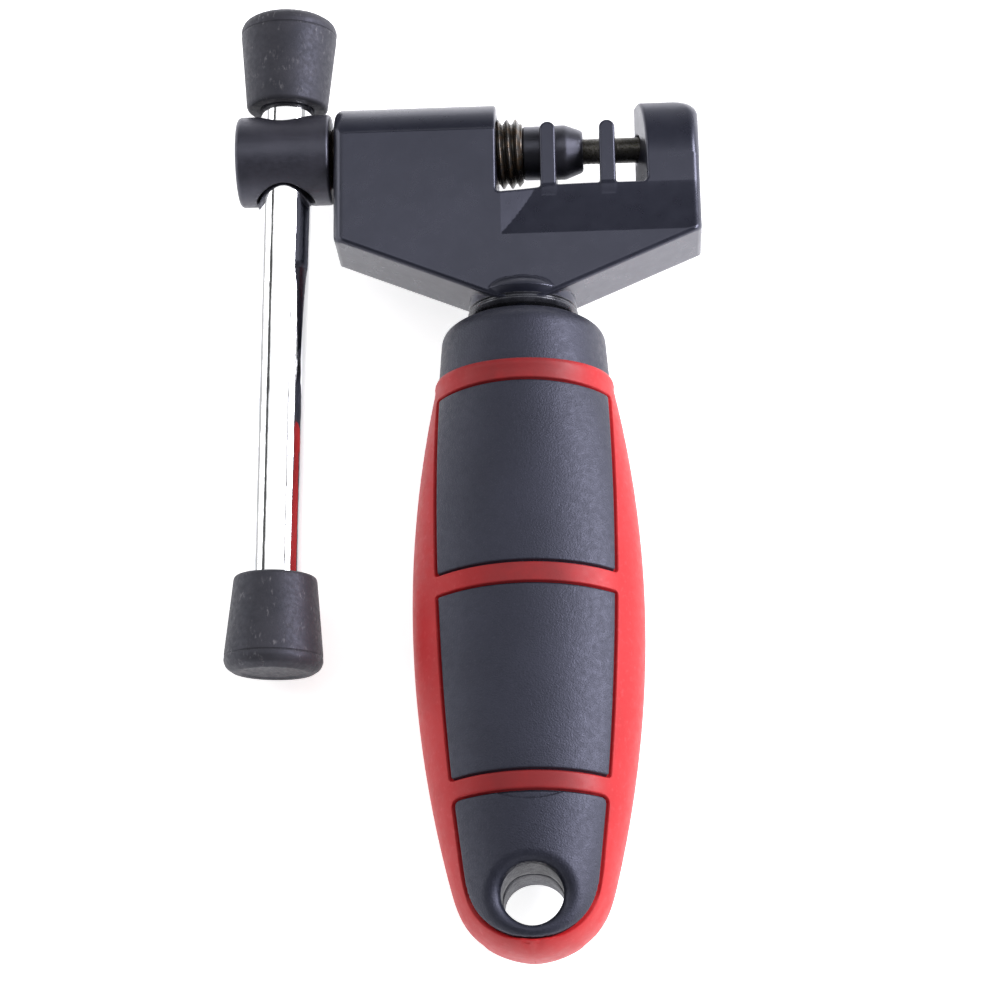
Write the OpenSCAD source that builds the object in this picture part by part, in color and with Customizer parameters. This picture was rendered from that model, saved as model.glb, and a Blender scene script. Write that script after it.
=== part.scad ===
// Bicycle chain tool: a cast head with a threaded block, two chain ribs and an anvil,
// a driving screw with a replaceable push pin and a sliding T-bar, and a two-part
// handle core in a rubber grip sleeve.
//
// Everything is drawn in the tool's own axes: X runs along the driving screw towards the
// anvil, Y points from the handle to the top of the head, Z points out of the front face,
// and the screw axis passes through the origin. laid_down() then moves the whole tool so
// that it lies on its back on Z = 0, centred on its own footprint.

/* [Head] */
// Left face of the threaded block, from the handle axis
block_left = 26.2; // [24:0.1:30]
// Right face of the threaded block, left of the handle axis
block_right = 3.25; // [2:0.05:4]
// Outer face of the anvil, from the handle axis
anvil_right = 25.4; // [23:0.1:28]
// Radius of the rounded boss around the screw
boss_r = 7; // [6.5:0.1:8]
// Front face of the head, in front of the screw axis
head_front = 7; // [6.5:0.1:8]
// Back face of the head, behind the screw axis
head_back = 6; // [5:0.1:7]
// Height of the head's lower corners, below the screw axis
corner_drop = 14.9; // [13:0.1:16]
// Height where the two sloping lower faces would meet, below the screw axis
vee_drop = 25.7; // [24:0.1:27]

/* [Chain slot] */
// Inner face of the anvil, from the handle axis
anvil_left = 16.4; // [15.5:0.1:17]
// Front face of the anvil and the ribs, in front of the screw axis
relief_front = 5.6; // [5:0.1:6]
// Depth of the slot floor, below the screw axis
slot_floor = 7; // [6:0.1:8]
// Thickness of a rib, to fit inside a bicycle chain's 2.38 mm link
rib_thick = 2.25; // [2:0.05:2.3]
// Places of the two ribs along the screw axis
rib_places = [4.06, 12.45];
// Height of the ribs above the screw axis
rib_top = 2.5; // [1:0.1:4]
// Radius of the roller seat cut in each rib
roller_seat_r = 4.2; // [4.1:0.05:4.3]
// Radius of the rivet hole through the anvil
rivet_hole_r = 2.1; // [2:0.05:2.5]

/* [Driving screw] */
// Outer radius of the M10 screw thread
thread_r = 4.95; // [4.9:0.01:4.98]
// Root radius of the screw thread
thread_root_r = 4.25; // [4.1:0.05:4.4]
// Pitch of the screw thread
thread_pitch = 1.25; // [1.25:0.25:1.5]
// Radius of the threaded hole in the block
tapped_hole_r = 5.0; // [5.0:0.01:5.05]
// Right end of the thread, from the handle axis
thread_end = 0.45; // [0:0.05:1]
// Radius of the cross-drilled hub
hub_r = 6.45; // [6:0.05:7]
// Left end of the hub, from the handle axis
hub_left = 40.2; // [39:0.1:42]
// Right end of the hub, from the handle axis
hub_right = 26.9; // [26.8:0.1:28]
// Radius of the loose cross-hole that the T-bar slides in
cross_hole_r = 4.15; // [4.1:0.05:4.3]

/* [Push pin] */
// Radius of the push pin, which drives a 3.6 mm chain rivet
pin_r = 1.82; // [1.7:0.01:1.85]
// Tip of the push pin, from the handle axis
pin_tip = 18.6; // [17:0.1:20]
// Radius of the head that traps the pin in its holder
pin_head_r = 2.7; // [2.5:0.05:2.8]
// Outer radius of the pin holder
holder_r = 3.9; // [3.7:0.05:4]
// Right end of the pin holder, from the handle axis
holder_end = 9; // [8.5:0.1:9.5]

/* [T-bar] */
// Radius of the chromed rod
rod_r = 3.75; // [3.5:0.05:3.8]
// Mouth of the upper cap, from the screw axis
upper_mouth = 7.6; // [7.2:0.1:8]
// Mouth of the lower cap, from the screw axis
lower_mouth = 60.8; // [55:0.1:65]
// Length of a rubber cap
cap_length = 13.6; // [12:0.1:15]
// Radius of a cap at its mouth
cap_mouth_r = 5.8; // [5.4:0.1:6]
// Radius of a cap at its widest
cap_wide_r = 6.9; // [6.5:0.1:6.9]
// Angle by which the rod leans in its loose cross-hole
bar_lean = 1.5; // [0:0.1:2]

/* [Handle] */
// Top of the ferrule, below the screw axis
ferrule_top = 26.2; // [25.6:0.1:26.6]
// Half width of the ferrule below its rounded shoulder
ferrule_half_w = 11.45; // [11:0.05:12]
// Top edge of the rubber sleeve, below the screw axis
sleeve_top = 34.65; // [34:0.05:36]
// Widest place of the grip, below the screw axis
belly_y = 68; // [60:1:75]
// Half width of the grip at its widest
belly_half_w = 15.85; // [15:0.05:17]
// Half thickness of the grip at its thickest
belly_half_t = 11.6; // [11:0.1:12.5]
// Bottom end of the handle, below the screw axis
handle_end = 115.3; // [112:0.1:118]
// Length of the rounded bottom end
end_round = 10.3; // [9:0.1:12]
// Thickness of the rubber sleeve
sleeve_t = 1.2; // [1:0.1:1.5]
// Top and bottom edges of the three pads on each side, below the screw axis
pad_rows = [[37.8, 63.6], [66.5, 91.7], [94.4, 113.3]];
// Half width of the pads at their widest
pad_half_w = 12.25; // [11.5:0.05:12.5]
// Gap between a pad and the sleeve
pad_gap = 0.2; // [0.1:0.05:0.3]
// Half width and half height of the oval hanging hole
hole_half = [4.9, 3.95];
// Centre of the hanging hole, below the screw axis
hole_y = 107.6; // [107:0.1:109]
// Depth of the shank in the handle, below the screw axis
shank_end = 60; // [55:1:62]

/* [Hidden] */
$fn = 48;

hub_x = -(hub_left + hub_right) / 2;
cap_reach = lower_mouth + cap_length * 0.86;
// The tool lies on the back of its grip, and the T-bar drops until its lower cap lies there too
bar_drop = asin((belly_half_t - cap_wide_r) / cap_reach);
// The box around the tool, which its origin is centred under
box_left = hub_x - cap_reach * sin(bar_lean) - cap_wide_r * cos(bar_lean);
bar_rise = cos(bar_lean) * cos(bar_drop);
cap_face_r = cap_wide_r - 1.3;
box_top = (upper_mouth + cap_length) * bar_rise + cap_face_r * sqrt(1 - bar_rise * bar_rise);
box_mid_x = (box_left + anvil_right) / 2;
box_mid_y = (box_top - handle_end) / 2;

slot_front_x = anvil_left + 1.6;
seat_drop = 1.5;
relief_foot = 15;
relief_bend = 8;
relief_run = 6;
neck_r = 7.75;
shank_r = 5;
ring_sides = 14;
skin_rows = 22;

module laid_down() {
    translate([-box_mid_x, -box_mid_y, belly_half_t]) children();
}

module along_x(x0, x1, r) {
    translate([x0, 0, 0]) rotate([0, 90, 0]) cylinder(h = x1 - x0, r = r);
}

// Turned about the screw axis: the outline gives [place along X, radius]
module turned_x(outline) {
    rotate([0, 90, 0]) rotate_extrude() polygon([for (p = outline) [p[1], p[0]]]);
}

// Turned about the handle axis: the outline gives [depth below the screw axis, radius]
module turned_y(outline) {
    rotate([90, 0, 0]) rotate_extrude() polygon([for (p = outline) [p[1], p[0]]]);
}

// --- head ---------------------------------------------------------------------------

// Front view of the head without its slot
module head_outline() {
    difference() {
        polygon([
            [-block_left, boss_r], [-block_left, -corner_drop], [0, -vee_drop],
            [anvil_right, -corner_drop], [anvil_right, boss_r]
        ]);
        corner = 3.5;
        translate([anvil_right - corner, boss_r - corner]) difference() {
            square(corner + 1);
            circle(r = corner);
        }
    }
}

// Side view of the head: a plate with a round boss along its top
module head_section() {
    rotate([90, 0, 90]) linear_extrude(block_left + anvil_right) union() {
        circle(r = boss_r, $fn = 64);
        translate([-vee_drop, -head_back]) square([vee_drop, head_back + head_front]);
    }
}

// The slot across the head, deeper beside the block to clear the screw
module slot_space() {
    translate([0, 0, -20]) linear_extrude(40) polygon([
        [-block_right, 20], [-block_right, -slot_floor - seat_drop],
        [rib_places[0] - rib_thick / 2, -slot_floor - 0.4],
        [slot_front_x, -slot_floor], [slot_front_x, 20]
    ]);
}

// The inner face of the anvil, which widens the slot towards the front
module anvil_pad() {
    translate([0, -slot_floor - 0.5, 0]) rotate([-90, 0, 0])
        linear_extrude(slot_floor + 0.5 + boss_r - 0.6) polygon([
            [anvil_left, head_back], [anvil_left, -0.5], [slot_front_x, -relief_front],
            [slot_front_x + 0.5, -relief_front], [slot_front_x + 0.5, head_back]
        ]);
}

// The shallow relief in front of the slot, the ribs and the anvil
module front_relief() {
    scoop_r = (relief_foot - relief_bend) ^ 2 / (2 * (head_front - relief_front));
    far = anvil_right + 1;
    difference() {
        translate([-block_right, -relief_foot, relief_front])
            cube([block_right + far, relief_foot + boss_r + 1, 4]);
        // The curved foot of the relief
        translate([-block_right - 1, -relief_foot - 1, relief_front]) intersection() {
            cube([far + block_right + 2, relief_foot - relief_bend + 1, scoop_r]);
            difference() {
                cube([far + block_right + 2, relief_foot, 2.5]);
                translate([-1, relief_foot - relief_bend + 1, scoop_r]) rotate([0, 90, 0])
                    cylinder(h = far + block_right + 4, r = scoop_r, $fn = 96);
            }
        }
        // The sloping left end of the relief
        translate([-block_right, 0, 0]) rotate([90, 0, 0]) linear_extrude(60, center = true)
            polygon([[-1, 0], [-1, head_front + 2], [0, head_front], [relief_run, relief_front],
                [relief_run, 0]]);
    }
}

module rib(x) {
    translate([x - rib_thick / 2, 0, 0]) difference() {
        intersection() {
            translate([0, -slot_floor - 1, -head_back])
                cube([rib_thick, slot_floor + 1 + rib_top, head_back + relief_front]);
            translate([rib_thick / 2, 0, -20]) linear_extrude(40) union() {
                translate([0, rib_top - rib_thick / 2]) circle(d = rib_thick);
                translate([-rib_thick / 2, -20]) square([rib_thick, 20 + rib_top - rib_thick / 2]);
            }
        }
        translate([-1, 0, 0]) rotate([0, 90, 0]) cylinder(h = rib_thick + 2, r = roller_seat_r);
        translate([-1, 0, -roller_seat_r]) cube([rib_thick + 2, 20, 2 * roller_seat_r]);
    }
}

// The turned neck below the head, and the shank that the handle is built around
module neck() {
    intersection() {
        turned_y([
            [vee_drop - 6, 0], [vee_drop - 6, 6.2], [21.8, 7], [23.6, 7.65], [23.8, 7.35],
            [24, neck_r], [24.8, neck_r], [25.5, 7.2], [25.5, shank_r], [34, shank_r],
            [35, shank_r - 1], [40, shank_r - 1], [41, shank_r], [47, shank_r],
            [48, shank_r - 1], [53, shank_r - 1], [54, shank_r], [shank_end, shank_r],
            [shank_end, 0]
        ]);
        translate([-10, -shank_end - 1, -10]) cube([20, 50, 20]);
    }
}

// A cast bar across the end of the shank, which stops the head turning in the handle
module shank_bar(grow = 0) {
    translate([-8 - grow, -shank_end + 2 - grow, -2 - grow])
        cube([16 + 2 * grow, 4 + 2 * grow, 4 + 2 * grow]);
}

module head() {
    color("#3c4148") difference() {
        union() {
            difference() {
                intersection() {
                    translate([0, 0, -20]) linear_extrude(40) head_outline();
                    translate([-block_left, 0, 0]) head_section();
                }
                slot_space();
                front_relief();
            }
            intersection() {
                anvil_pad();
                translate([-block_left, 0, 0]) head_section();
            }
            for (x = rib_places) rib(x);
            neck();
            shank_bar();
        }
        along_x(-block_left - 1, -block_right + 1, tapped_hole_r);
        along_x(anvil_left - 1, anvil_right + 1, rivet_hole_r);
    }
}

// --- handle -------------------------------------------------------------------------

function clamp01(v) = min(1, max(0, v));

// How far the rounded shoulder and the rounded bottom end draw the section in, down to a
// small flat at the very end
function shoulder(y) = let (e = clamp01((ferrule_top + 3.2 - y) / 3.2)) 1 - 0.24 * e ^ 2.6;
function end_curve(y, inset) =
    let (e = clamp01((y - handle_end + end_round) / (end_round - inset)))
    sqrt(max(0.02, 1 - e ^ 3.5));

// Half width and half thickness of the handle at a depth below the screw axis
function grip_w(y) = belly_half_w - 0.0034 * (y - belly_y) ^ 2;
function grip_t(y) = belly_half_t - (y < belly_y ? 0.00045 : 0.0011) * (y - belly_y) ^ 2;
function half_w(y, inset) =
    y < sleeve_top ? shoulder(y) * (ferrule_half_w + (y - 29) * 0.08) - inset
    : (grip_w(y) - inset) * end_curve(y, inset);
function half_t(y, inset) =
    y < sleeve_top ? shoulder(y) * (ferrule_half_w - 0.5) - inset
    : (min(grip_t(y), ferrule_half_w + 0.3) - inset) * (0.15 + 0.85 * end_curve(y, inset));

// Depths of the cross-sections, closer together where the handle is rounded
function skin_y(i, y0, y1) = let (u = i / skin_rows) y0 + (y1 - y0) * sin(90 * u ^ 0.8);

// One cross-section from the left edge over the front to the right edge
function front_ring(y, inset) = [
    for (k = [0:ring_sides]) let (a = 180 - 180 * k / ring_sides)
        [half_w(y, inset) * cos(a), -y, half_t(y, inset) * sin(a)]
];

// The front half of the handle's outer form, between two depths
module front_skin(y0, y1, inset) {
    n = ring_sides + 1;
    rings = [for (i = [0:skin_rows]) each front_ring(skin_y(i, y0, y1), inset)];
    sides = [for (i = [0:skin_rows - 1], k = [0:ring_sides - 1])
        let (a = i * n + k) each [[a, a + 1, a + n + 1], [a, a + n + 1, a + n]]];
    back = [for (i = [0:skin_rows - 1])
        let (a = i * n, b = a + n - 1) each [[b, a, a + n], [b, a + n, b + n]]];
    polyhedron(points = rings, faces = concat(sides, back, [
        [for (k = [ring_sides:-1:0]) k],
        [for (k = [0:ring_sides]) skin_rows * n + k]
    ]));
}

// A freeform shell is one faceted skin, at its own size
module freeform() {
    resize([0, 0, 0]) union() children();
}

module both_sides() {
    children();
    mirror([0, 0, 1]) children();
}

// Half width of the pads: a long bow, rounded in towards the bottom of the last pad
function pad_w(y, bottom) =
    let (e = clamp01((y - 103) / (bottom - 103)))
    (pad_half_w - 0.0013 * (y - 56) ^ 2) * (bottom > 100 ? sqrt(max(0, 1 - e ^ 3.4)) : 1);

// Outline of a pad in the front view, with its upper and lower edges gently arched
module pad_outline(row, inset) {
    steps = 12;
    top = row[0] + inset;
    bottom = row[1] - inset;
    arch = 0.0049;
    side = [for (i = [0:steps]) let (y = top + (bottom - top) * sin(90 * i / steps))
        [max(0.3, pad_w(y, row[1]) - inset), y]];
    right = [for (p = side) [p[0], -p[1] - (row[1] > 100 && p[1] > 100 ? 0 : arch * p[0] ^ 2)]];
    edge = [for (k = [-2:2]) k / 3];
    polygon(concat(
        [for (k = edge) [k * side[0][0], -top - arch * (k * side[0][0]) ^ 2]],
        right,
        [for (i = [steps:-1:0]) [-right[i][0], right[i][1]]]
    ));
}

module pad_prisms(inset) {
    for (row = pad_rows)
        linear_extrude(20) pad_outline(row, inset);
}

// An oval made of four arcs, from its two half sizes
module oval(half) {
    end_r = half[1] * 0.81;
    end_x = half[0] - end_r;
    drop = (end_x ^ 2 - (half[1] - end_r) ^ 2) / (2 * (half[1] - end_r));
    big_r = half[1] + drop;
    joint_x = end_x * big_r / (big_r - end_r);
    for (s = [-1, 1]) translate([s * end_x, 0]) circle(r = end_r);
    intersection() {
        translate([0, drop]) circle(r = big_r, $fn = 96);
        translate([0, -drop]) circle(r = big_r, $fn = 96);
        square([2 * joint_x, 4 * half[1]], center = true);
    }
}

module hanging_hole() {
    translate([0, -hole_y, -20]) linear_extrude(40) oval(hole_half);
}

// One half of the black core: ferrule, body under the sleeve and the three raised pads
module core_half() {
    difference() {
        union() {
            front_skin(ferrule_top, sleeve_top - 0.01, 0);
            front_skin(sleeve_top - 0.5, handle_end - sleeve_t, sleeve_t);
            intersection() {
                front_skin(sleeve_top, handle_end, 0);
                pad_prisms(pad_gap);
            }
        }
        // Recess for the neck, channel for the shank and pockets that leave even walls
        turned_y([[ferrule_top - 1, 0], [ferrule_top - 1, neck_r + 0.3],
            [ferrule_top + 1.6, neck_r + 0.3], [ferrule_top + 1.6, shank_r + 0.05],
            [shank_end + 0.1, shank_r + 0.05], [shank_end + 0.1, 0]]);
        shank_bar(0.05);
        for (s = [-1, 1], y = [66, 80])
            translate([s * 5 - 3, -y - 11, -1]) cube([6, 11, 7]);
        hanging_hole();
    }
}

peg_places = [[0, -64], [0, -97]];

module front_core() {
    color("#343840") freeform() difference() {
        core_half();
        for (p = peg_places) translate([p[0], p[1], -1]) cylinder(h = 4.2, r = 1.3);
    }
}

module back_core() {
    color("#343840") freeform() {
        mirror([0, 0, 1]) core_half();
        for (p = peg_places) translate([p[0], p[1], -1]) cylinder(h = 4, r = 1.25);
    }
}

module grip_sleeve() {
    color("#c2303a") freeform() difference() {
        both_sides() front_skin(sleeve_top, handle_end, 0);
        both_sides() front_skin(sleeve_top - 2, handle_end - sleeve_t, sleeve_t);
        both_sides() pad_prisms(0);
    }
}

// --- driving screw, pin holder and push pin -------------------------------------------

module main_screw() {
    turns = floor((thread_end + hub_right) / thread_pitch);
    thread = [for (i = [0:turns - 1]) let (x = thread_end - (turns - i) * thread_pitch)
        each [[x, thread_root_r], [x + thread_pitch / 2, thread_r]]];
    color("#45454a") difference() {
        turned_x(concat(
            [[-hub_left, 0], [-hub_left, hub_r - 0.6], [-hub_left + 0.6, hub_r],
                [-hub_right - 0.4, hub_r], [-hub_right, hub_r - 0.4],
                [-hub_right, thread_root_r]],
            thread,
            [[thread_end, thread_root_r], [thread_end, 2.6], [3.4, 2.6], [3.4, 0]]
        ));
        translate([hub_x, 0, 0]) rotate([bar_drop + 90, 0, 0])
            cylinder(h = 40, r = cross_hole_r, center = true);
    }
}

module pin_holder() {
    color("#2c2d31") turned_x([
        [thread_end + 0.05, 2.6], [thread_end + 0.05, 3.8], [6.5, holder_r],
        [holder_end - 0.2, 3.1], [holder_end, 2.9], [holder_end, pin_r + 0.06],
        [5.3, pin_r + 0.06], [5.3, 2.8], [3.4, 2.8], [3.4, 2.6]
    ]);
}

module push_pin() {
    color("#5a5650") turned_x([
        [3.5, 0], [3.5, pin_head_r], [5.2, pin_head_r], [5.2, pin_r],
        [pin_tip - 0.3, pin_r], [pin_tip, pin_r - 0.3], [pin_tip, 0]
    ]);
}

// --- T-bar ----------------------------------------------------------------------------

// The bar's own axes: its length along Y, with the screw axis at Y = 0
module on_bar() {
    translate([hub_x, 0, 0]) rotate([bar_drop, 0, 0]) rotate([0, 0, -bar_lean]) children();
}

module bar_cap() {
    round_start = cap_length - 1.9;
    turned_y([
        [0, rod_r], [0, cap_mouth_r - 0.3], [0.3, cap_mouth_r], [round_start, cap_wide_r],
        [cap_length - 0.9, cap_wide_r - 0.2], [cap_length - 0.2, cap_face_r + 0.4],
        [cap_length, cap_face_r], [cap_length, 0], [cap_length - 1.6, 0],
        [cap_length - 1.6, rod_r]
    ]);
}

module t_bar_rod() {
    seat = cap_length - 1.6;
    color("#c9ccd1") on_bar() turned_y([
        [-upper_mouth - seat, 0], [-upper_mouth - seat, rod_r - 0.5],
        [-upper_mouth - seat + 0.5, rod_r], [lower_mouth + seat - 0.5, rod_r],
        [lower_mouth + seat, rod_r - 0.5], [lower_mouth + seat, 0]
    ]);
}

module upper_bar_cap() {
    color("#3a3840") on_bar() translate([0, upper_mouth, 0]) mirror([0, 1, 0]) bar_cap();
}

module lower_bar_cap() {
    color("#3a3840") on_bar() translate([0, -lower_mouth, 0]) bar_cap();
}

laid_down() head();
laid_down() front_core();
laid_down() back_core();
laid_down() grip_sleeve();
laid_down() main_screw();
laid_down() pin_holder();
laid_down() push_pin();
laid_down() t_bar_rod();
laid_down() upper_bar_cap();
laid_down() lower_bar_cap();
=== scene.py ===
import math

import bpy
import numpy as np
from mathutils import Matrix, Vector


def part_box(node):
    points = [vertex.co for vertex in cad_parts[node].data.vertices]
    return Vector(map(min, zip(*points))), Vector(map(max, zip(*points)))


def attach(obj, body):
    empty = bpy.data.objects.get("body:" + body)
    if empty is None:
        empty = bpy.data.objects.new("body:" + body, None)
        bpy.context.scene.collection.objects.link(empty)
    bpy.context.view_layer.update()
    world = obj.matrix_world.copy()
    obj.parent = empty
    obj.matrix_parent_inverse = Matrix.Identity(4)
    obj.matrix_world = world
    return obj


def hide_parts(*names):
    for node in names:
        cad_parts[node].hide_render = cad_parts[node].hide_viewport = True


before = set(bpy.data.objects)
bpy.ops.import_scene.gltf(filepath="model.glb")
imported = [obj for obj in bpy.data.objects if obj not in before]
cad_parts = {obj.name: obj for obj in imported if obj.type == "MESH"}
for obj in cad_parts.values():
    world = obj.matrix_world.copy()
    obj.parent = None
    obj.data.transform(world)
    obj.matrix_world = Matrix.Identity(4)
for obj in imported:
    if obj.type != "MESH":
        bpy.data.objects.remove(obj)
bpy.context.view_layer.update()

# The model is built in the tool's own axes, in millimetres: X runs along the driving
# screw towards the anvil, Y from the handle to the top of the head, Z out of the front.
# Depths are measured down the handle from the screw axis.


def middle(node, axis):
    low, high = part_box(node)
    return (low[axis] + high[axis]) / 2


MM = 0.001
ORIGIN = np.array([middle("grip_sleeve", 0), middle("pin_holder", 1), middle("pin_holder", 2)])


def in_tool(point):
    """A point of the frame, in metres, in the tool's axes, in millimetres."""
    return (np.array(point) - ORIGIN) / MM


def tool_box(node):
    low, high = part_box(node)
    return in_tool(low), in_tool(high)


# --- sizes: from the CAD frame where it has them, otherwise the design's own ------------

HEAD_LOW, HEAD_HIGH = tool_box("head")
SLEEVE_LOW, SLEEVE_HIGH = tool_box("grip_sleeve")
CORE_HIGH = tool_box("front_core")[1]
SCREW_LOW, SCREW_HIGH = tool_box("main_screw")
HOLDER_LOW, HOLDER_HIGH = tool_box("pin_holder")
PIN_LOW, PIN_HIGH = tool_box("push_pin")

BLOCK_LEFT = HEAD_LOW[0]
ANVIL_RIGHT = HEAD_HIGH[0]
BOSS_R = HEAD_HIGH[1]
HEAD_FRONT = 7.0
HEAD_BACK = -6.0
BLOCK_RIGHT = -3.25
CORNER_DROP = 14.9
VEE_DROP = 25.7
ANVIL_LEFT = 16.4

# The relief is the lower face in front of the slot and the anvil
SLOT_FRONT = 18.0
RELIEF_FRONT = 5.6
RELIEF_FOOT = 15.0
RELIEF_BEND = 7.2
RELIEF_START = 0.6
RELIEF_RUN = 5.0

# The dome stands on the foot of the V, over the neck
DOME_TOP = 21.2
DOME_R = 7.6
DOME_ROUND = 2.6
DOME_AHEAD = 1.0
DOME_FOOT = 23.95
NECK_R = 7.75

SLOT_FLOOR = 7.0
SLOT_LEAN_START = -0.5
FLOOR_FALL = 1.3
RIB_PLACES = (4.06, 12.45)
RIB_HALF = 1.125
RIB_TOP = 2.5
SEAT_R = 4.2
TAPPED_R = 5.0
SINK_DEPTH = 0.5
RIVET_HOLE_R = 2.1

FERRULE_TOP = -CORE_HIGH[1]
SLEEVE_TOP = -SLEEVE_HIGH[1]
HANDLE_END = -SLEEVE_LOW[1]
BELLY_HALF_W = SLEEVE_HIGH[0]
BELLY_HALF_T = SLEEVE_HIGH[2]
BELLY_Y = 68.0
FERRULE_HALF_W = 11.45
SHOULDER_RUN = 3.2
END_ROUND = 10.3
HOLE_HALF = (4.9, 3.95)
HOLE_Y = 107.6

PAD_ROWS = ((37.8, 63.6), (66.5, 91.7), (94.4, 113.3))
PAD_HALF_W = 12.25
PAD_WIDEST = 56
CORNER_ROUNDS = (0.35, 0.35, 0.9)
ARCH = 0.0049
ARCH_END, ARCH_FADE = 104, 6
POCKET_DROP = 1.0
POCKET_HALF_W = 4.5
GROOVE_DEPTH = 0.6
GROOVE_HALF_W = 0.21
RIM_ROUND = 1.7
WALL = 0.7
TIP_MEETS = 0.01
TIP_SHARE = 0.03

HUB_LEFT = -SCREW_LOW[0]
HUB_RIGHT = 26.9
HUB_R = SCREW_HIGH[1]
HUB_X = -(HUB_LEFT + HUB_RIGHT) / 2
CROSS_HOLE_R = 4.15
THREAD_R = 4.95
THREAD_ROOT_R = 4.25
THREAD_PITCH = 1.25
THREAD_END = 0.45
PIN_R = 1.82

ROD_R = 3.75
UPPER_MOUTH = 7.6
LOWER_MOUTH = 60.8
CAP_LENGTH = 13.6
CAP_MOUTH_R = 5.8
CAP_WIDE_R = 6.9
BAR_LEAN = math.radians(1.5)
BAR_DROP = math.asin((BELLY_HALF_T - CAP_WIDE_R) / (LOWER_MOUTH + CAP_LENGTH * 0.86))

# --- meshes ----------------------------------------------------------------------------


def make_piece(name, points, faces, body, node, material, normals=None):
    """A piece from points in the tool's axes, which stands for one CAD node."""
    mesh = bpy.data.meshes.new(name)
    mesh.from_pydata((ORIGIN + MM * np.asarray(points)).tolist(), [], faces)
    mesh.validate()
    mesh.shade_smooth()
    if normals is not None:
        mesh.normals_split_custom_set_from_vertices(normals.tolist())
    mesh.materials.append(material)
    piece = bpy.data.objects.new(name, mesh)
    bpy.context.scene.collection.objects.link(piece)
    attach(piece, body)
    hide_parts(node)
    return piece


def grid_faces(rows, columns, closed=False):
    """Quads between the points of a grid that is stored row by row."""
    faces = []
    for i in range(rows - 1):
        for j in range(columns if closed else columns - 1):
            k = (j + 1) % columns
            faces.append((i * columns + j, i * columns + k,
                          (i + 1) * columns + k, (i + 1) * columns + j))
    return faces


def round_outline(corners, radius, steps=4):
    """An open outline with each inner corner rounded by a short arc."""
    points = [np.array(corners[0], float)]
    for before, corner, after in zip(corners, corners[1:], corners[2:]):
        before, corner, after = (np.array(p, float) for p in (before, corner, after))
        reach = min(radius, 0.45 * np.linalg.norm(before - corner),
                    0.45 * np.linalg.norm(after - corner))
        start = corner + (before - corner) / np.linalg.norm(before - corner) * reach
        end = corner + (after - corner) / np.linalg.norm(after - corner) * reach
        for k in range(steps + 1):
            t = k / steps
            points.append((1 - t) ** 2 * start + 2 * t * (1 - t) * corner + t * t * end)
    points.append(np.array(corners[-1], float))
    return points


def lathe(outline, sides=96):
    """Points and faces turned about the first axis. The outline gives (place, radius)."""
    points = []
    for place, radius in outline:
        for k in range(sides):
            a = 2 * math.pi * k / sides
            points.append((place, radius * math.cos(a), radius * math.sin(a)))
    return np.array(points), grid_faces(len(outline), sides, closed=True)


def stretch(outline, longest):
    """The outline with extra points, so that no step is longer than a given length."""
    points = [outline[0]]
    for a, b in zip(outline, outline[1:]):
        pieces = max(1, math.ceil(np.linalg.norm(np.subtract(b, a)) / longest))
        points += [np.add(a, np.subtract(b, a) * k / pieces) for k in range(1, pieces + 1)]
    return points


# --- solid fields: distances in mm, negative inside --------------------------------------

NOWHERE = 9.0


def clamp01(v):
    return np.clip(v, 0, 1)


def round_max(a, b, r):
    """What lies in both, with the edge between them rounded to a radius."""
    return np.minimum(-r, np.maximum(a, b)) + np.hypot(np.maximum(a + r, 0), np.maximum(b + r, 0))


def round_min(a, b, r):
    """What lies in either, with the inner corner between them filled to a radius."""
    return -round_max(-a, -b, r)


def slope(field, p, h=0.02):
    """The field's gradient at each point of an (n, 3) array."""
    out = np.empty_like(p)
    for k in range(3):
        step = np.zeros(3)
        step[k] = h
        out[:, k] = (field(*(p + step).T) - field(*(p - step).T)) / (2 * h)
    return out


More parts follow.
